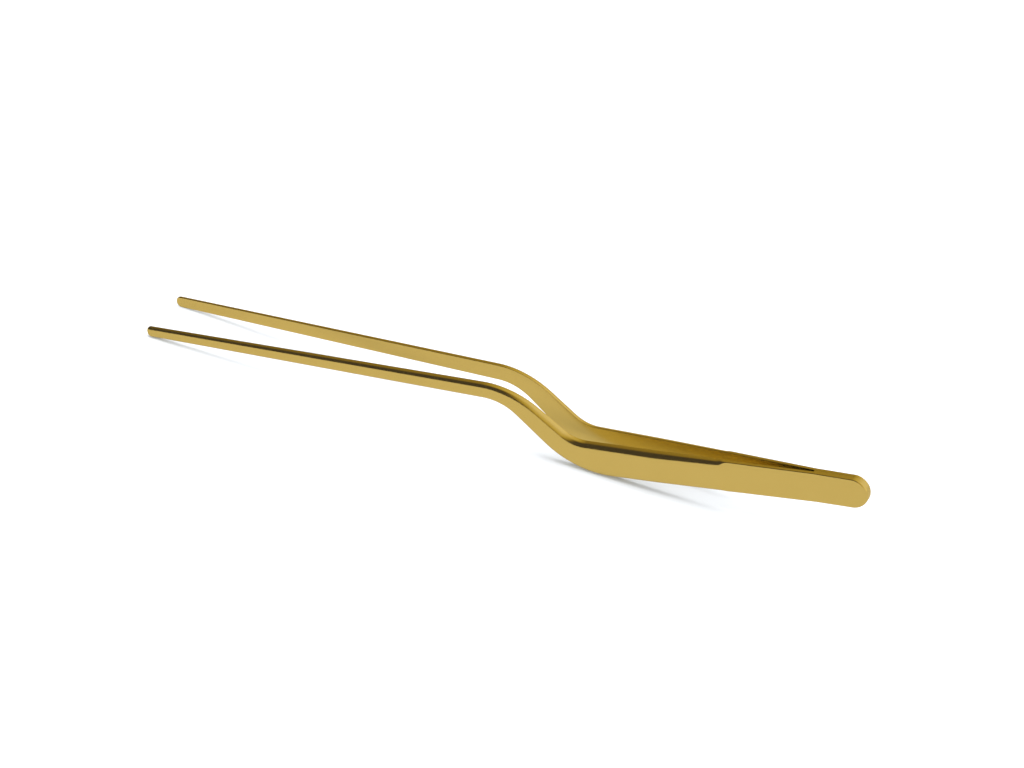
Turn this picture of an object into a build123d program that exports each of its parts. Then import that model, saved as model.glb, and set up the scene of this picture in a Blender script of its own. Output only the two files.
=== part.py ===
from build123d import *
from math import cos, degrees, radians, sin, tan
import os

# Long offset tongs: two sprung steel strips, welded together at the rear with a thin spacer
# between them. Frame: +X from the tips to the rear end, Y across the opening, +Z up. The origin is
# under the middle of the tongs, on the surface that the tips and the heels rest on. Millimetres.
# A "reach" is a distance in front of the rear end, along the handle's centre line.

# Side view, the same for both strips
LENGTH = 300.0
TIP_TOP_RISE = 8.55  # degrees
TIP_BOTTOM_RISE = 7.73
LEG_BOTTOM_FALL = 37.4
NECK_TOP = (9.44, 28.34)  # corners of the outline, before they are rounded
HEEL_BOTTOM_X = 35.83
HEEL_TOP_REACH = 115.8
NECK_TOP_RADIUS = 33.8
NECK_BOTTOM_RADIUS = 18.2
HEEL_TOP_RADIUS = 12.9
HEEL_BOTTOM_RADIUS = 34.8
HANDLE_RISE = 11.12  # slope of the handle's centre line
HANDLE_TAPER = 0.45  # lean of each long edge towards the centre line, going to the rear
HANDLE_END_HALF_WIDTH = 6.3
TIP_ROUND = 1.9
REAR_TOP_ROUND = 5.5
REAR_BOTTOM_ROUND = 6.9

# Plan view: inner faces, thickness of the strip, and radius of its outer long edges
TIP_HALF_GAP = 10.43
BEND_HALF_GAP = 2.14
SPACER_THICKNESS = 0.9
SPACER_REACH = 20.8
BEND_REACH = 53.8
THINNING_LENGTH = 29.5
STEP_LENGTH = 4.0
TIP_THICKNESS = 1.75
GRIP_THICKNESS = 2.94
BEND_THICKNESS = 2.16
SPRING_THICKNESS = 1.35
FRONT_EDGE_RADIUS = 1.5
BEND_EDGE_RADIUS = 1.5
SPRING_EDGE_RADIUS = 0.3

# Grip grooves across the inner faces of the tips
GROOVE_COUNT = 40
GROOVE_PITCH = 0.8
GROOVE_WIDTH = 0.56
GROOVE_DEPTH = 0.12
GROOVE_START = 2.2  # from the tip's end to the first groove, clear of the tip's rounding

# Each strip flexes in its thin stretch, and is divided across the middle of it
HINGE_REACH = (SPACER_REACH + BEND_REACH) / 2
CLOSED_HALF_GAP = 0.05  # left between a tip and the middle plane when the tongs are squeezed shut
REST_FACE_REACH = 13.0  # middle of the flat outer face beside the spacer

REAR_X = LENGTH / 2
TIP_X = -LENGTH / 2
BEYOND = 40.0  # prisms that are cut back later reach this far past the tongs
OVERCUT = 0.1


def slope(angle):
    return tan(radians(angle))


# The handle's own directions: rearwards along its centre line, and up across it
rise = radians(HANDLE_RISE)
along = Vector(cos(rise), 0, sin(rise))
across = Vector(-sin(rise), 0, cos(rise))

# The heel's arc touches the surface, so the corner that it rounds lies below by this much
heel_rise = HANDLE_RISE + HANDLE_TAPER
heel_mean = radians((heel_rise - LEG_BOTTOM_FALL) / 2)
heel_half_turn = radians((heel_rise + LEG_BOTTOM_FALL) / 2)
heel_drop = HEEL_BOTTOM_RADIUS * (cos(heel_mean) / cos(heel_half_turn) - 1)
heel_bottom = (HEEL_BOTTOM_X, -heel_drop)

# The round rear end reaches REAR_X, and the handle's bottom edge runs through the heel corner
end_flat = HANDLE_END_HALF_WIDTH - REAR_BOTTOM_ROUND
end_overhang = REAR_BOTTOM_ROUND * (1 - cos(rise)) + end_flat * sin(rise)
end_x = REAR_X - end_overhang
end_bottom_x = end_x + HANDLE_END_HALF_WIDTH * sin(rise)
end_bottom_z = (end_bottom_x - HEEL_BOTTOM_X) * slope(heel_rise) - heel_drop
handle_end = Vector(end_x, 0, end_bottom_z + HANDLE_END_HALF_WIDTH * cos(rise))


def half_width(reach):
    return HANDLE_END_HALF_WIDTH + reach * slope(HANDLE_TAPER)


def handle_edge(reach, side):
    """Side-view point on the handle's top edge (side 1) or bottom edge (side -1)."""
    point = handle_end - along * reach + across * (side * half_width(reach))
    return point.X, point.Z


# The tip's lower round touches the surface; the leg's lower edge meets the tip stretch at the neck
tip_lean = radians(TIP_BOTTOM_RISE)
tip_bottom = (TIP_X, -TIP_ROUND * (tan(tip_lean) + 1 / cos(tip_lean) - 1))
neck_bottom_x = (
    HEEL_BOTTOM_X * slope(LEG_BOTTOM_FALL) - heel_drop - tip_bottom[1] + TIP_X * slope(TIP_BOTTOM_RISE)
) / (slope(LEG_BOTTOM_FALL) + slope(TIP_BOTTOM_RISE))
neck_bottom = (neck_bottom_x, tip_bottom[1] + (neck_bottom_x - TIP_X) * slope(TIP_BOTTOM_RISE))
tip_top = (TIP_X, NECK_TOP[1] - (NECK_TOP[0] - TIP_X) * slope(TIP_TOP_RISE))

outline_corners = [
    tip_bottom, neck_bottom, heel_bottom, handle_edge(0, -1),
    handle_edge(0, 1), handle_edge(HEEL_TOP_REACH, 1), NECK_TOP, tip_top,
]
outline_radii = [
    TIP_ROUND, NECK_BOTTOM_RADIUS, HEEL_BOTTOM_RADIUS, REAR_BOTTOM_ROUND,
    REAR_TOP_ROUND, HEEL_TOP_RADIUS, NECK_TOP_RADIUS, TIP_ROUND,
]

tip_middle = Vector(TIP_X, 0, (tip_bottom[1] + tip_top[1]) / 2)
tip_reach = (handle_end - tip_middle).dot(along)


def half_gap(reach):
    """Distance from the middle plane to a strip's inner face."""
    spacer_half = SPACER_THICKNESS / 2
    if reach > BEND_REACH:
        share = (reach - BEND_REACH) / (tip_reach - BEND_REACH)
        return BEND_HALF_GAP + (TIP_HALF_GAP - BEND_HALF_GAP) * share
    share = max(0, (reach - SPACER_REACH) / (BEND_REACH - SPACER_REACH))
    return spacer_half + (BEND_HALF_GAP - spacer_half) * share


def handle_plane(reach):
    """The plane square to the handle, drawn with Y to the right."""
    return Plane(handle_end - along * reach, x_dir=(0, 1, 0), z_dir=along)


def strip_section(reach, thickness, edge_radius):
    """The strip's cross-section: a rectangle with its two outer corners rounded."""
    with BuildSketch(handle_plane(reach)) as section:
        with Locations((half_gap(reach) + thickness / 2, 0)):
            Rectangle(thickness, 2 * half_width(reach))
        fillet(section.vertices().group_by(Axis.X)[-1], edge_radius)
    return section.sketch


with BuildLine() as outline:
    FilletPolyline(*outline_corners, radius=outline_radii, close=True)

# The front of the strip: the side view, cut in plan to a thickness that tapers towards the tip
thinning_reach = BEND_REACH + THINNING_LENGTH
past_tip = tip_reach + BEYOND


def front_thickness(reach):
    share = (reach - thinning_reach) / (tip_reach - thinning_reach)
    return GRIP_THICKNESS + (TIP_THICKNESS - GRIP_THICKNESS) * share


with BuildPart() as front:
    with BuildSketch(Plane.XZ):
        make_face(outline.edges())
    extrude(amount=BEYOND, both=True)
    with BuildSketch(Plane(handle_end, x_dir=along, z_dir=across)):
        with BuildLine():
            Polyline(
                (-past_tip, half_gap(past_tip)),
                (-BEND_REACH, BEND_HALF_GAP),
                (-BEND_REACH, BEND_HALF_GAP + front_thickness(BEND_REACH)),
                (-past_tip, half_gap(past_tip) + front_thickness(past_tip)),
                close=True,
            )
        make_face()
    extrude(amount=LENGTH, both=True, mode=Mode.INTERSECT)
    outer_face = front.faces().sort_by(SortBy.AREA)[-2:].sort_by(Axis.Y)[-1]
    fillet(outer_face.edges().sort_by(Axis.X)[:-1], FRONT_EDGE_RADIUS)
    split(bisect_by=handle_plane(thinning_reach), keep=Keep.BOTTOM)

# The rear of the strip, flat against the spacer
with BuildPart() as rear:
    with BuildSketch(Plane.XZ.offset(-SPACER_THICKNESS / 2)):
        make_face(outline.edges())
    extrude(amount=-SPRING_THICKNESS)
    split(bisect_by=handle_plane(SPACER_REACH + BEYOND), keep=Keep.TOP)
    outer_face = rear.faces().sort_by(Axis.Y)[-1]
    fillet(outer_face.edges().sort_by(Axis.X)[1:], SPRING_EDGE_RADIUS)
    split(bisect_by=handle_plane(SPACER_REACH), keep=Keep.TOP)

# The whole strip. Between front and rear it thins, steps down at the bend, and becomes the spring.
sections = [
    front.faces().sort_by(Axis.X)[-1],
    strip_section(BEND_REACH + STEP_LENGTH, BEND_THICKNESS, BEND_EDGE_RADIUS),
    strip_section(BEND_REACH, SPRING_THICKNESS, SPRING_EDGE_RADIUS),
    rear.faces().sort_by(Axis.X)[0],
]
tip_direction = Vector(cos(tip_lean), 0, sin(tip_lean))
tip_upright = Vector(-sin(tip_lean), 0, cos(tip_lean))
gap_slope = (TIP_HALF_GAP - BEND_HALF_GAP) / (tip_reach - BEND_REACH)
groove_mouth = GROOVE_WIDTH / 2 * (1 + OVERCUT / GROOVE_DEPTH)
with BuildPart() as strip:
    add(front.part)
    add(rear.part)
    loft(sections, ruled=True)
    with BuildSketch(Plane(tip_middle, x_dir=tip_direction, z_dir=tip_upright)):
        for number in range(GROOVE_COUNT):
            distance = GROOVE_START + number * GROOVE_PITCH
            with Locations((distance, TIP_HALF_GAP - distance * gap_slope)):
                Polygon(
                    (-groove_mouth, -OVERCUT), (groove_mouth, -OVERCUT), (0, GROOVE_DEPTH),
                    align=None,
                )
    extrude(amount=BEYOND, both=True, mode=Mode.SUBTRACT)

with BuildPart() as left_tail:
    add(strip.part)
    split(bisect_by=handle_plane(HINGE_REACH), keep=Keep.TOP)

with BuildPart() as left_blade:
    add(strip.part)
    split(bisect_by=handle_plane(HINGE_REACH), keep=Keep.BOTTOM)

with BuildPart() as right_tail:
    mirror(left_tail.part, about=Plane.XZ)

with BuildPart() as right_blade:
    mirror(left_blade.part, about=Plane.XZ)

with BuildPart() as spacer:
    with BuildSketch(Plane.XZ):
        make_face(outline.edges())
    extrude(amount=SPACER_THICKNESS / 2, both=True)
    split(bisect_by=handle_plane(SPACER_REACH), keep=Keep.TOP)

os.makedirs("parts", exist_ok=True)
pieces = {
    "left_tail": left_tail,
    "left_blade": left_blade,
    "right_tail": right_tail,
    "right_blade": right_blade,
    "spacer": spacer,
}
for name, piece in pieces.items():
    piece.part.label = name
    export_step(piece.part, f"parts/{name}.step")

hinge = handle_end - along * HINGE_REACH
print("hinge", [round(v, 4) for v in (hinge.X, half_gap(HINGE_REACH), hinge.Z)])
print("hinge axis", [round(v, 6) for v in (across.X, across.Y, across.Z)])
closing = (TIP_HALF_GAP - CLOSED_HALF_GAP) / (tip_reach - HINGE_REACH)
print("closing angle, degrees, about", round(degrees(closing), 3))
for reach in (REST_FACE_REACH, HEEL_TOP_REACH):
    point = handle_end - along * reach
    print("handle centre at reach", round(reach, 1), round(point.X, 3), round(point.Z, 3))
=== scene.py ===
from math import atan2, cos, pi, radians, sin, tan

import bmesh
import bpy
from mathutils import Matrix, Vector


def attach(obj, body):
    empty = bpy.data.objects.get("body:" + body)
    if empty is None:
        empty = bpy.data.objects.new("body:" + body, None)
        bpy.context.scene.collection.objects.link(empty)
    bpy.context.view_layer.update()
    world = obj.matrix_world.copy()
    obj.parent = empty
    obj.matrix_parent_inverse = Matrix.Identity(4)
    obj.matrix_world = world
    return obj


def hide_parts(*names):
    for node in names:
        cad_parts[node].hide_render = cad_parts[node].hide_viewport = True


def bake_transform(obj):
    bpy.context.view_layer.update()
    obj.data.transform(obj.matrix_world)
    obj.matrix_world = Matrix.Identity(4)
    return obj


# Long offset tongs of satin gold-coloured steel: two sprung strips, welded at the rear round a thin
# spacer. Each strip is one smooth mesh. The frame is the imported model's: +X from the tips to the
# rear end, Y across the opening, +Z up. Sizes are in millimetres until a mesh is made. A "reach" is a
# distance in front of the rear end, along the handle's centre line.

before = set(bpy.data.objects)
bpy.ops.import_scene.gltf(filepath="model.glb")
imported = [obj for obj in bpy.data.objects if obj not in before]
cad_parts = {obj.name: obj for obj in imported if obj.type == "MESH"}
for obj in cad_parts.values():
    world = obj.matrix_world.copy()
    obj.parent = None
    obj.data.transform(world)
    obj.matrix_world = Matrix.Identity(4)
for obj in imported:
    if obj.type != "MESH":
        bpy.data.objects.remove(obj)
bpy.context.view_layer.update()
MM = 0.001

# Side view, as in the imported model
LENGTH = 300.0
TIP_TOP_RISE = 8.55  # degrees
TIP_BOTTOM_RISE = 7.73
LEG_BOTTOM_FALL = 37.4
NECK_TOP = Vector((9.44, 28.34))
HEEL_BOTTOM_X = 35.83
HEEL_TOP_REACH = 115.8
NECK_TOP_RADIUS = 33.8
NECK_BOTTOM_RADIUS = 18.2
HEEL_TOP_RADIUS = 12.9
HEEL_BOTTOM_RADIUS = 34.8
HANDLE_RISE = 11.12
HANDLE_TAPER = 0.45
HANDLE_END_HALF_WIDTH = 6.3
TIP_ROUND = 1.9
REAR_TOP_ROUND = 5.5
REAR_BOTTOM_ROUND = 6.9

# Plan view
TIP_HALF_GAP = 10.43
BEND_HALF_GAP = 2.14
SPACER_HALF_THICKNESS = 0.45
SPACER_REACH = 20.8
BEND_REACH = 53.8
THINNING_REACH = 83.3
STEP_LENGTH = 4.0
TIP_THICKNESS = 1.75
GRIP_THICKNESS = 2.94
BEND_THICKNESS = 2.16
SPRING_THICKNESS = 1.35

# The outer long edges' radii, as shares of the strip's thickness. The top edge grows from the neck to
# the heel, so that in the handle it takes up nearly the whole thickness.
FRONT_TOP_SHARE = 0.65
HANDLE_TOP_SHARE = 0.9
BOTTOM_SHARE = 0.79
NECK_REACH = 150.0

# Other edge radii
SPRING_EDGE = 0.3
REAR_END_EDGE = 0.9
INNER_EDGE = 0.15
SEAM_EDGE = 0.06
SEAM_DEPTH = 0.03  # of the spacer's rim, below the strips' rims

# Grip grooves across the inner faces of the tips
GROOVE_COUNT = 40
GROOVE_PITCH = 0.8
GROOVE_HALF_WIDTH = 0.28
GROOVE_DEPTH = 0.12
GROOVE_START = 2.2

# Parts of each long edge of the side view, from the tip to the rear end
TIP_END, FRONT, NECK, LEG, HEEL, HANDLE, REAR_END = range(7)

# Fineness of the meshes: steps along the parts, across the strip and round its long edges
TIP_END_STEPS = 6
FRONT_STEPS = 16  # behind the grooves
NECK_STEPS = 20
LEG_STEPS = 4
HEEL_STEPS = 20
FIRST_HANDLE_STEPS = 4
SQUARE_STEPS = 12
BEND_STEPS = 18
SPRING_STEPS = 16
SPACER_STEPS = 6
REAR_END_STEPS = 12
ACROSS_STEPS = 6
EDGE_STEPS = 10
INNER_EDGE_STEPS = 3
SQUARE_REACH = 92.0  # from here to the rear, the stations lie square to the handle
REAR_END_MARGIN = 1.0  # between the last square station and the rear end's rounding
ROUNDING_ROOM = 0.001  # the station at the spacer's front may lie this far off it
SHARP_ANGLE = 40  # degrees


def slope(angle):
    return tan(radians(angle))


def heading(angle):
    """Unit vector in the side view, by its rise above the level."""
    return Vector((cos(radians(angle)), sin(radians(angle))))


# Corners of the side view, before they are rounded. The roundings of the tip and the heel touch z = 0.
along = heading(HANDLE_RISE)
across = Vector((-along.y, along.x))
heel_rise = HANDLE_RISE + HANDLE_TAPER
heel_mean = radians((heel_rise - LEG_BOTTOM_FALL) / 2)
heel_half_turn = radians((heel_rise + LEG_BOTTOM_FALL) / 2)
heel_drop = HEEL_BOTTOM_RADIUS * (cos(heel_mean) / cos(heel_half_turn) - 1)
heel_bottom = Vector((HEEL_BOTTOM_X, -heel_drop))

end_flat = HANDLE_END_HALF_WIDTH - REAR_BOTTOM_ROUND
end_overhang = REAR_BOTTOM_ROUND * (1 - along.x) + end_flat * along.y
end_x = LENGTH / 2 - end_overhang
end_bottom_x = end_x + HANDLE_END_HALF_WIDTH * along.y
end_bottom_z = (end_bottom_x - HEEL_BOTTOM_X) * slope(heel_rise) - heel_drop
handle_end = Vector((end_x, end_bottom_z + HANDLE_END_HALF_WIDTH * along.x))


def reach_of(point):
    return (handle_end - point).dot(along)


def handle_edge(reach, side):
    half_width = HANDLE_END_HALF_WIDTH + reach * slope(HANDLE_TAPER)
    return handle_end - along * reach + across * (side * half_width)


tip_lean = radians(TIP_BOTTOM_RISE)
tip_bottom = Vector((-LENGTH / 2, -TIP_ROUND * (tan(tip_lean) + 1 / cos(tip_lean) - 1)))
leg_fall = slope(LEG_BOTTOM_FALL)
tip_rise = slope(TIP_BOTTOM_RISE)
neck_bottom_x = (
    HEEL_BOTTOM_X * leg_fall - heel_drop - tip_bottom.y + tip_bottom.x * tip_rise
) / (leg_fall + tip_rise)
neck_bottom_z = tip_bottom.y + (neck_bottom_x - tip_bottom.x) * tip_rise
neck_bottom = Vector((neck_bottom_x, neck_bottom_z))
tip_top = Vector((tip_bottom.x, NECK_TOP.y - (NECK_TOP.x - tip_bottom.x) * slope(TIP_TOP_RISE)))
tip_middle = (tip_bottom + tip_top) / 2
tip_reach = reach_of(tip_middle)


class Arc:
    """A rounded corner of the side view, walked from the tip to the rear."""

    def __init__(self, before, corner, after, radius):
        into, out = corner - before, after - corner
        self.angle = atan2(into.y, into.x)
        self.turn = (atan2(out.y, out.x) - self.angle + pi) % (2 * pi) - pi
        self.curvature = (1 if self.turn > 0 else -1) / radius
        tangent = radius * tan(abs(self.turn) / 2)
        self.start = corner - into.normalized() * tangent
        self.end = corner + out.normalized() * tangent

    def at(self, share):
        """Point and direction of travel, at a share of the arc."""
        angle = self.angle + share * self.turn
        dx = (sin(angle) - sin(self.angle)) / self.curvature
        dz = (cos(self.angle) - cos(angle)) / self.curvature
        return self.start + Vector((dx, dz)), Vector((cos(angle), sin(angle)))


class Run:
    """A straight stretch of the side view."""

    def __init__(self, start, end):
        self.start, self.end = start, end
        self.direction = (end - start).normalized()

    def at(self, share):
        return self.start.lerp(self.end, share), self.direction

    def level_with(self, origin, direction, distance):
        """Share of the run that lies this distance from origin, measured along direction."""
        first = (self.start - origin).dot(direction)
        last = (self.end - origin).dot(direction)
        return (distance - first) / (last - first)


def edge_line(corners, radii):
    """One long edge of the side view: arcs and straight runs in turn, from tip to rear."""
    arcs = [Arc(*corners[i:i + 3], radius) for i, radius in enumerate(radii)]
    line = []
    for arc, following in zip(arcs, arcs[1:]):
        line += [arc, Run(arc.end, following.start)]
    return line + [arcs[-1]]


top_line = edge_line(
    [
        tip_bottom, tip_top, NECK_TOP,
        handle_edge(HEEL_TOP_REACH, 1), handle_edge(0, 1), handle_edge(0, -1),
    ],
    [TIP_ROUND, NECK_TOP_RADIUS, HEEL_TOP_RADIUS, REAR_TOP_ROUND],
)
bottom_line = edge_line(
    [tip_top, tip_bottom, neck_bottom, heel_bottom, handle_edge(0, -1), handle_edge(0, 1)],
    [TIP_ROUND, NECK_BOTTOM_RADIUS, HEEL_BOTTOM_RADIUS, REAR_BOTTOM_ROUND],
)


def spread(start, end, steps):
    """Evenly spaced values from start, leaving end out."""
    return [start + (end - start) * i / steps for i in range(steps)]


def groove_stops():
    """Distances from the tip's end of each groove's two lips and bottom."""
    centres = [GROOVE_START + i * GROOVE_PITCH for i in range(GROOVE_COUNT)]
    return [c + offset for c in centres for offset in (-GROOVE_HALF_WIDTH, 0, GROOVE_HALF_WIDTH)]


def groove_cut(distance):
    """Depth of the grooves at a distance from the tip's end."""
    number = round((distance - GROOVE_START) / GROOVE_PITCH)
    if not 0 <= number < GROOVE_COUNT:
        return 0
    aside = abs(distance - GROOVE_START - number * GROOVE_PITCH)
    return GROOVE_DEPTH * max(0, 1 - aside / GROOVE_HALF_WIDTH)


def handle_stops():
    """Reaches of the stations on the handle, finer at the step behind the bend."""
    step_front = BEND_REACH + 2 * STEP_LENGTH
    step_rear = BEND_REACH - STEP_LENGTH
    return (
        spread(SQUARE_REACH, step_front, SQUARE_STEPS)
        + spread(step_front, step_rear, BEND_STEPS)
        + spread(step_rear, SPACER_REACH, SPRING_STEPS)
        + spread(SPACER_REACH, REAR_BOTTOM_ROUND + REAR_END_MARGIN, SPACER_STEPS)
    )


def stations():
    """Pairs of opposite points on the top and bottom edges, each with its direction of travel."""
    tip_direction = heading(TIP_BOTTOM_RISE)
    pairs = []

    def both(part, top_share, bottom_share):
        pairs.append((top_line[part].at(top_share), bottom_line[part].at(bottom_share)))

    def equal(part, shares):
        for share in shares:
            both(part, share, share)

    def level(part, origin, direction, distance):
        """Shares of the two edges' runs at the same distance."""
        return [line[part].level_with(origin, direction, distance) for line in (top_line, bottom_line)]

    equal(TIP_END, spread(0, 1, TIP_END_STEPS))
    for distance in groove_stops():
        both(FRONT, *level(FRONT, tip_middle, tip_direction, distance))
    last_top, last_bottom = level(FRONT, tip_middle, tip_direction, groove_stops()[-1])
    for share in spread(0, 1, FRONT_STEPS)[1:]:
        both(FRONT, last_top + share * (1 - last_top), last_bottom + share * (1 - last_bottom))
    equal(NECK, spread(0, 1, NECK_STEPS))
    equal(LEG, spread(0, 1, LEG_STEPS))
    equal(HEEL, spread(0, 1, HEEL_STEPS))
    square_top, square_bottom = level(HANDLE, handle_end, -along, SQUARE_REACH)
    for share in spread(0, 1, FIRST_HANDLE_STEPS):
        both(HANDLE, share * square_top, share * square_bottom)
    for reach in handle_stops():
        both(HANDLE, *level(HANDLE, handle_end, -along, reach))
    equal(REAR_END, spread(0, 1, REAR_END_STEPS) + [1])
    return pairs


def smooth(value):
    value = min(1, max(0, value))
    return value * value * (3 - 2 * value)


def half_gap(reach):
    """Distance from the middle plane to a strip's inner face."""
    if reach > BEND_REACH:
        share = (reach - BEND_REACH) / (tip_reach - BEND_REACH)
        return BEND_HALF_GAP + (TIP_HALF_GAP - BEND_HALF_GAP) * share
    share = max(0, (reach - SPACER_REACH) / (BEND_REACH - SPACER_REACH))
    return SPACER_HALF_THICKNESS + (BEND_HALF_GAP - SPACER_HALF_THICKNESS) * share


def between(reach, rear, front, rear_value, front_value):
    return rear_value + (front_value - rear_value) * (reach - rear) / (front - rear)


def thickness(reach):
    if reach > THINNING_REACH:
        return between(reach, THINNING_REACH, tip_reach, GRIP_THICKNESS, TIP_THICKNESS)
    if reach > BEND_REACH + STEP_LENGTH:
        return between(reach, BEND_REACH + STEP_LENGTH, THINNING_REACH, BEND_THICKNESS, GRIP_THICKNESS)
    share = smooth((reach - BEND_REACH) / STEP_LENGTH)
    return SPRING_THICKNESS + (BEND_THICKNESS - SPRING_THICKNESS) * share


def edge_share(reach, is_top):
    """Radius of an outer long edge, as a share of the thickness."""
    if not is_top:
        return BOTTOM_SHARE
    heel_share = smooth((NECK_REACH - reach) / (NECK_REACH - HEEL_TOP_REACH))
    return FRONT_TOP_SHARE + (HANDLE_TOP_SHARE - FRONT_TOP_SHARE) * heel_share


def outer_edge(reach, is_top):
    """Radius of the outer long edges, and of the rounded rear end."""
    if reach > BEND_REACH:
        full = edge_share(reach, is_top) * thickness(reach)
        return SPRING_EDGE + (full - SPRING_EDGE) * smooth((reach - BEND_REACH) / STEP_LENGTH)
    return SPRING_EDGE + (REAR_END_EDGE - SPRING_EDGE) * smooth((REAR_TOP_ROUND - reach) / REAR_TOP_ROUND)


def inner_edge(reach):
    """Radius of the inner long edges, finest where they meet the spacer."""
    return SEAM_EDGE + (INNER_EDGE - SEAM_EDGE) * smooth((reach - SPACER_REACH) / SPACER_REACH)


def rim(pairs, front_outward):
    """The outline as a closed walk of (station, column, point, outward direction)."""
    last = len(pairs) - 1
    walk = [(i, 0, top, Vector((-way.y, way.x))) for i, ((top, way), _) in enumerate(pairs)]
    for column in range(1, ACROSS_STEPS):
        (top, _), (bottom, _) = pairs[last]
        walk.append((last, column, top.lerp(bottom, column / ACROSS_STEPS), along))
    for i in range(last, -1, -1):
        bottom, way = pairs[i][1]
        walk.append((i, ACROSS_STEPS, bottom, Vector((way.y, -way.x))))
    for column in range(ACROSS_STEPS - 1, 0, -1):
        (top, _), (bottom, _) = pairs[0]
        walk.append((0, column, top.lerp(bottom, column / ACROSS_STEPS), front_outward))
    return walk


def strip_levels(reach, is_top):
    """The rim's section from inner to outer face, as (inset, is it set from the outer face, offset)."""
    inner = inner_edge(reach)
    outer = outer_edge(reach, is_top)
    turns = [pi / 2 * i / INNER_EDGE_STEPS for i in range(INNER_EDGE_STEPS + 1)]
    levels = [(inner * (1 - sin(a)), False, inner * (1 - cos(a))) for a in turns]
    turns = [pi / 2 * i / EDGE_STEPS for i in range(EDGE_STEPS + 1)]
    return levels + [(outer * (1 - cos(a)), True, outer * (1 - sin(a))) for a in turns]


def spacer_levels(reach, is_top):
    """The spacer's rim stands just below the strips' rims, so that a fine seam shows each side."""
    return [
        (SEAM_EDGE, False, 0),
        (SEAM_DEPTH, False, SEAM_EDGE),
        (SEAM_DEPTH, True, SEAM_EDGE),
        (SEAM_EDGE, True, 0),
    ]


def plate(name, pairs, levels_at, inner_y, outer_y, front_outward=Vector((-1, 0)), side=1):
    """A plate with the given side view, bounded in depth by inner_y and outer_y, with edges by levels_at.

    Each vertex keeps its place on the straightened strip, in metres: how far along it is, its depth,
    and how far above the middle line. The metal's grain follows that, round every bend.
    """
    tip_direction = heading(TIP_BOTTOM_RISE)
    walk = rim(pairs, front_outward)
    middles = [(top + bottom) / 2 for (top, _), (bottom, _) in pairs]
    travelled = [0.0]
    for before, after in zip(middles, middles[1:]):
        travelled.append(travelled[-1] + (after - before).length)
    cuts = [groove_cut((top - tip_middle).dot(tip_direction)) for (top, _), _ in pairs]
    vertices, straightened, faces = [], [], []

    def add_vertex(station, point, column_share, width, from_outer, offset):
        reach = reach_of(point)
        if from_outer:
            y = outer_y(reach) - offset
        else:
            y = inner_y(reach) + max(offset, cuts[station])
        vertices.append((point.x * MM, side * y * MM, point.y * MM))
        above = (0.5 - column_share) * width
        straightened.append((travelled[station] * MM, side * y * MM, above * MM))
        return len(vertices) - 1

    def add_ring(level):
        ring = []
        for station, column, point, outward in walk:
            inset, from_outer, offset = levels_at(reach_of(point), column < ACROSS_STEPS / 2)[level]
            width = (pairs[station][0][0] - pairs[station][1][0]).length - 2 * inset
            share = column / ACROSS_STEPS
            ring.append(add_vertex(station, point - outward * inset, share, width, from_outer, offset))
        return ring

    def add_cap(ring, level, flip):
        """Fills a ring with a grid of quads between its top and bottom edges."""
        grid = [[None] * (ACROSS_STEPS + 1) for _ in pairs]
        for vertex, (station, column, _, _) in zip(ring, walk):
            grid[station][column] = vertex
        for station, columns in enumerate(grid):
            ends = [vertices[columns[0]], vertices[columns[-1]]]
            top, bottom = (Vector((x, z)) / MM for x, _, z in ends)
            for column, vertex in enumerate(columns):
                if vertex is None:
                    share = column / ACROSS_STEPS
                    point = top.lerp(bottom, share)
                    _, from_outer, offset = levels_at(reach_of(point), True)[level]
                    columns[column] = add_vertex(
                        station, point, share, (top - bottom).length, from_outer, offset
                    )
        for near, far in zip(grid, grid[1:]):
            for a, b, c, d in zip(near, near[1:], far[1:], far):
                faces.append((a, d, c, b) if flip else (a, b, c, d))

    level_count = len(levels_at(0, True))
    rings = [add_ring(level) for level in range(level_count)]
    for low, high in zip(rings, rings[1:]):
        for i in range(len(walk)):
            j = (i + 1) % len(walk)
            faces.append((low[i], low[j], high[j], high[i]))
    add_cap(rings[0], 0, flip=False)
    add_cap(rings[-1], level_count - 1, flip=True)

    mesh = bpy.data.meshes.new(name)
    mesh.from_pydata(vertices, [], faces)
    grain = mesh.attributes.new("straightened", "FLOAT_VECTOR", "POINT")
    grain.data.foreach_set("vector", [value for place in straightened for value in place])
    shell = bmesh.new()
    shell.from_mesh(mesh)
    bmesh.ops.recalc_face_normals(shell, faces=shell.faces)
    shell.to_mesh(mesh)
    shell.free()
    mesh.shade_smooth()
    mesh.set_sharp_from_angle(angle=radians(SHARP_ANGLE))
    piece = bpy.data.objects.new(name, mesh)
    bpy.context.scene.collection.objects.link(piece)
    weighted = piece.modifiers.new("weighted_normals", "WEIGHTED_NORMAL")
    weighted.keep_sharp = True
    return piece


def outer_face(reach):
    """Distance from the middle plane to a strip's outer face."""
    return half_gap(reach) + thickness(reach)


def make_strip(name, side, nodes):
    strip = plate(name, stations(), strip_levels, half_gap, outer_face, side=side)
    strip.data.materials.append(satin_gold())
    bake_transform(strip)
    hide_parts(*nodes)


def make_spacer():
    pairs = [pair for pair in stations() if reach_of(pair[0][0]) < SPACER_REACH + ROUNDING_ROOM]
    spacer = plate(
        "rear_spacer", pairs, spacer_levels,
        lambda reach: -SPACER_HALF_THICKNESS, lambda reach: SPACER_HALF_THICKNESS,
        front_outward=-along,
    )
    spacer.data.materials.append(satin_gold())
    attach(spacer, "rear_joint")
    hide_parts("spacer")


# Materials

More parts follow.
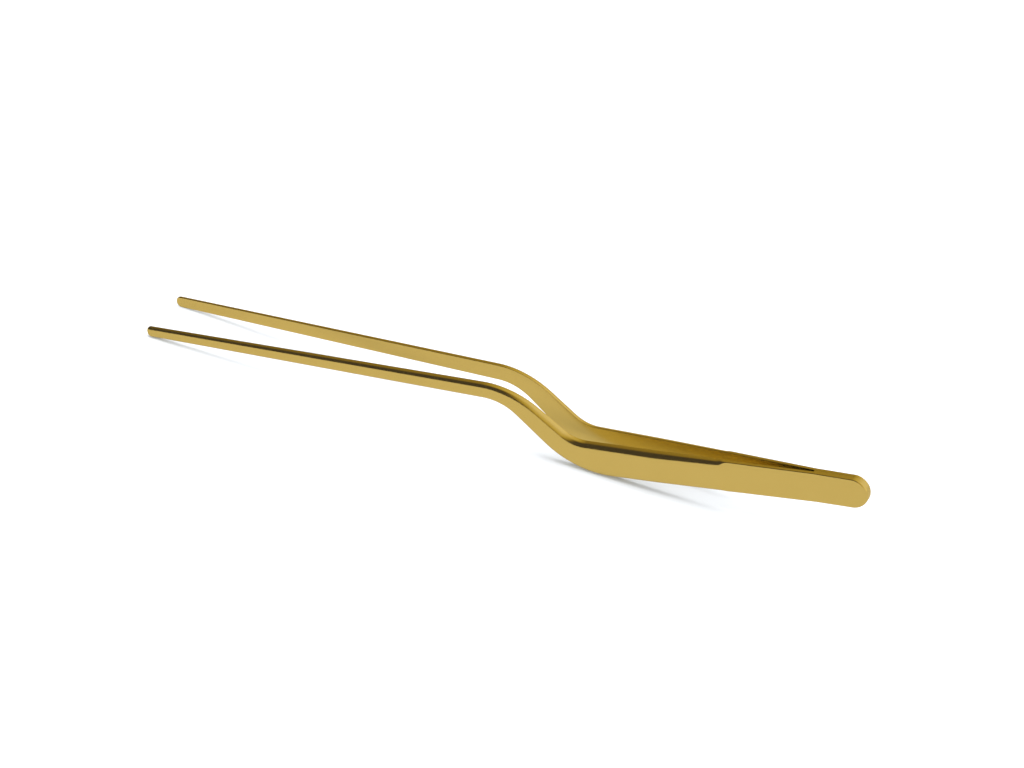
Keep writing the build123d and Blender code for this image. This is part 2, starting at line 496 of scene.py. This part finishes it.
GOLD = (0.76, 0.645, 0.235)
GOLD_DEEP = (0.74, 0.622, 0.22)
GRAIN_SIZE = (0.03, 0.00015, 0.00015)  # metres along, through and across the strip
BLOTCH_SIZE = (0.012, 0.012, 0.012)
ROUGHNESS = (0.15, 0.25)  # from the grain's low places to its high ones
GRAIN_STRENGTH = 0.12
GRAIN_HEIGHT = 0.00001  # metres
MATT_ROUGHNESS = 0.9


def satin_gold():
    """Gold-coloured coating over lengthwise-brushed steel."""
    existing = bpy.data.materials.get("satin_gold")
    if existing:
        return existing
    material = bpy.data.materials.new("satin_gold")
    material.use_nodes = True
    nodes, links = material.node_tree.nodes, material.node_tree.links
    metal = nodes["Principled BSDF"]
    metal.inputs["Metallic"].default_value = 1.0
    place = nodes.new("ShaderNodeAttribute")
    place.attribute_name = "straightened"

    def noise(size, detail, roughness):
        mapping = nodes.new("ShaderNodeMapping")
        mapping.inputs["Scale"].default_value = [1 / s for s in size]
        texture = nodes.new("ShaderNodeTexNoise")
        texture.inputs["Scale"].default_value = 1.0
        texture.inputs["Detail"].default_value = detail
        texture.inputs["Roughness"].default_value = roughness
        links.new(place.outputs["Vector"], mapping.inputs["Vector"])
        links.new(mapping.outputs["Vector"], texture.inputs["Vector"])
        return texture.outputs["Fac"]

    grain = noise(GRAIN_SIZE, detail=2.0, roughness=0.55)
    blotches = noise(BLOTCH_SIZE, detail=3.0, roughness=0.5)

    tint = nodes.new("ShaderNodeMix")
    tint.data_type = "RGBA"
    tint.inputs["A"].default_value = (*GOLD_DEEP, 1)
    tint.inputs["B"].default_value = (*GOLD, 1)
    links.new(blotches, tint.inputs["Factor"])
    links.new(tint.outputs["Result"], metal.inputs["Base Color"])

    sheen = nodes.new("ShaderNodeMapRange")
    sheen.inputs["To Min"].default_value = ROUGHNESS[0]
    sheen.inputs["To Max"].default_value = ROUGHNESS[1]
    links.new(grain, sheen.inputs["Value"])
    links.new(sheen.outputs["Result"], metal.inputs["Roughness"])

    bump = nodes.new("ShaderNodeBump")
    bump.inputs["Strength"].default_value = GRAIN_STRENGTH
    bump.inputs["Distance"].default_value = GRAIN_HEIGHT
    links.new(grain, bump.inputs["Height"])
    links.new(bump.outputs["Normal"], metal.inputs["Normal"])
    return material


def matt(name, color):
    """A plain matt surface, for the floor and the table top."""
    material = bpy.data.materials.new(name)
    material.use_nodes = True
    surface = material.node_tree.nodes["Principled BSDF"]
    surface.inputs["Base Color"].default_value = (*color, 1)
    surface.inputs["Roughness"].default_value = MATT_ROUGHNESS
    surface.inputs["Specular IOR Level"].default_value = 0.0
    return material


# Studio

FLOOR_CORNERS = ((-3, -3), (3, 3))  # metres, as the table's are
FLOOR_COLOR = (0.91, 0.94, 0.98)
TABLE_CORNERS = ((-0.45, -0.15), (0.6, 0.6))
TABLE_COLOR = (0.477, 0.388, 0.273)
GLINT_ON_FLOOR = 0.15  # share that is kept of the mirrored light which the metal throws on the floor

LAMP_HEIGHT = 1.0  # metres, as the size is
LAMP_SIZE = 0.5
LAMP_POWER = 5.1  # watts

FLOOR_SKY = 1.1  # strength of the pale light on the floor
FRONT_X = (-0.093, 0.907)  # in the front of the studio, these X of direction
FRONT_PLACES = (-0.5, 1.0)  # have these places on the scale of tones
BACK_SHIFT = 0.3  # in the back, the place lies this far above X
BACK_BAND = (-0.6, 0.2)  # over these Y of direction the front passes into the back
# Place between the dim left end, -1, and the bright right end, 1, and the tone there
STUDIO_TONES = [
    (-0.48, (0.045, 0.032, 0.031)),
    (-0.365, (0.075, 0.052, 0.026)),
    (-0.30, (0.23, 0.148, 0.031)),
    (-0.22, (0.34, 0.228, 0.044)),
    (-0.14, (0.40, 0.28, 0.06)),
    (-0.04, (0.50, 0.37, 0.10)),
    (0.10, (0.61, 0.46, 0.15)),
    (0.28, (0.67, 0.51, 0.21)),
    (0.51, (0.76, 0.60, 0.36)),
    (0.80, (0.86, 0.72, 0.56)),
]

CAMERA_AZIMUTH = 27.217  # degrees
CAMERA_ELEVATION = 38.846
CAMERA_DISTANCE = 1.12403  # metres, as the target is
CAMERA_TARGET = Vector((0.006319, 0, 0.024692))
LENS = 105.47  # millimetres, as the sensor is
SENSOR_WIDTH = 36


def make_sheet(name, low, high, material):
    """A flat sheet on the floor's level between two corners, in metres."""
    mesh = bpy.data.meshes.new(name)
    corners = [
        (low[0], low[1], 0),
        (high[0], low[1], 0),
        (high[0], high[1], 0),
        (low[0], high[1], 0),
    ]
    mesh.from_pydata(corners, [], [(0, 1, 2, 3)])
    mesh.materials.append(material)
    sheet = bpy.data.objects.new(name, mesh)
    bpy.context.scene.collection.objects.link(sheet)
    return sheet


def table_cream():
    """The table top's material, dimmed where the metal would throw it back on the floor."""
    material = matt("table_cream", TABLE_COLOR)
    nodes, links = material.node_tree.nodes, material.node_tree.links
    rays = nodes.new("ShaderNodeLightPath")
    color = nodes.new("ShaderNodeMix")
    color.data_type = "RGBA"
    color.inputs["A"].default_value = (*TABLE_COLOR, 1)
    color.inputs["B"].default_value = (*[GLINT_ON_FLOOR * c for c in TABLE_COLOR], 1)
    links.new(rays.outputs["Diffuse Depth"], color.inputs["Factor"])
    links.new(color.outputs["Result"], nodes["Principled BSDF"].inputs["Base Color"])
    return material


def make_floor():
    """The floor, and the cream table top that the metal mirrors in its place, which ends in front."""
    floor = make_sheet("floor", *FLOOR_CORNERS, matt("floor_white", FLOOR_COLOR))
    floor.visible_glossy = False
    floor.visible_shadow = False
    table = make_sheet("table_top", *TABLE_CORNERS, table_cream())
    table.visible_camera = False
    table.visible_diffuse = False
    table.visible_shadow = False


def make_world():
    """Even pale light on the floor, and a studio for the metal to mirror.

    The studio is dim at one end and bright at the other. What the metal throws back on the floor is
    dimmed.
    """
    world = bpy.data.worlds.new("studio")
    bpy.context.scene.world = world
    world.use_nodes = True
    nodes, links = world.node_tree.nodes, world.node_tree.links
    pale = nodes["Background"]
    pale.inputs["Color"].default_value = (1, 1, 1, 1)
    pale.inputs["Strength"].default_value = FLOOR_SKY
    place = nodes.new("ShaderNodeTexCoord")
    direction = nodes.new("ShaderNodeSeparateXYZ")
    links.new(place.outputs["Generated"], direction.inputs["Vector"])
    backness = nodes.new("ShaderNodeMapRange")
    backness.interpolation_type = "SMOOTHSTEP"
    backness.inputs["From Min"].default_value = BACK_BAND[0]
    backness.inputs["From Max"].default_value = BACK_BAND[1]
    links.new(direction.outputs["Y"], backness.inputs["Value"])

    in_front = nodes.new("ShaderNodeMapRange")
    in_front.inputs["From Min"].default_value = FRONT_X[0]
    in_front.inputs["From Max"].default_value = FRONT_X[1]
    in_front.inputs["To Min"].default_value = FRONT_PLACES[0]
    in_front.inputs["To Max"].default_value = FRONT_PLACES[1]
    links.new(direction.outputs["X"], in_front.inputs["Value"])
    in_back = nodes.new("ShaderNodeMath")
    in_back.inputs[1].default_value = BACK_SHIFT
    links.new(direction.outputs["X"], in_back.inputs[0])
    position = nodes.new("ShaderNodeMix")
    links.new(backness.outputs["Result"], position.inputs["Factor"])
    links.new(in_front.outputs["Result"], position.inputs["A"])
    links.new(in_back.outputs["Value"], position.inputs["B"])
    # The places run from -1 to 1, and the ramp from 0 to 1
    share = nodes.new("ShaderNodeMapRange")
    share.inputs["From Min"].default_value = -1
    links.new(position.outputs["Result"], share.inputs["Value"])
    tones = nodes.new("ShaderNodeValToRGB")
    stops = tones.color_ramp.elements
    while len(stops) < len(STUDIO_TONES):
        stops.new(0.5)
    for stop, (tone_place, tone) in zip(stops, STUDIO_TONES):
        stop.position = (tone_place + 1) / 2
        stop.color = (*tone, 1)
    links.new(share.outputs["Result"], tones.inputs["Fac"])
    studio = nodes.new("ShaderNodeBackground")
    links.new(tones.outputs["Color"], studio.inputs["Color"])
    rays = nodes.new("ShaderNodeLightPath")
    glint = nodes.new("ShaderNodeMapRange")
    glint.inputs["To Min"].default_value = 1
    glint.inputs["To Max"].default_value = GLINT_ON_FLOOR
    links.new(rays.outputs["Diffuse Depth"], glint.inputs["Value"])
    links.new(glint.outputs["Result"], studio.inputs["Strength"])
    choice = nodes.new("ShaderNodeMixShader")
    links.new(rays.outputs["Is Glossy Ray"], choice.inputs["Fac"])
    links.new(pale.outputs["Background"], choice.inputs[1])
    links.new(studio.outputs["Background"], choice.inputs[2])
    links.new(choice.outputs["Shader"], nodes["World Output"].inputs["Surface"])


def make_key_light():
    """A broad soft light overhead, for the floor alone."""
    light = bpy.data.lights.new("overhead", "AREA")
    light.shape = "DISK"
    light.size = LAMP_SIZE
    light.energy = LAMP_POWER
    lamp = bpy.data.objects.new("overhead", light)
    lamp.location = (0, 0, LAMP_HEIGHT)
    lamp.visible_glossy = False
    bpy.context.scene.collection.objects.link(lamp)


def make_camera():
    azimuth = radians(CAMERA_AZIMUTH)
    elevation = radians(CAMERA_ELEVATION)
    away = Vector((sin(azimuth) * cos(elevation), -cos(azimuth) * cos(elevation), sin(elevation)))
    lens = bpy.data.cameras.new("camera")
    lens.lens = LENS
    lens.sensor_width = SENSOR_WIDTH
    camera = bpy.data.objects.new("camera", lens)
    camera.location = CAMERA_TARGET + away * CAMERA_DISTANCE
    camera.rotation_euler = (-away).to_track_quat("-Z", "Y").to_euler()
    bpy.context.scene.collection.objects.link(camera)
    bpy.context.scene.camera = camera


bpy.context.scene.view_settings.view_transform = "Standard"
make_camera()
make_world()
make_key_light()
make_floor()
make_strip("left_strip", 1, ("left_tail", "left_blade"))
make_strip("right_strip", -1, ("right_tail", "right_blade"))
make_spacer()
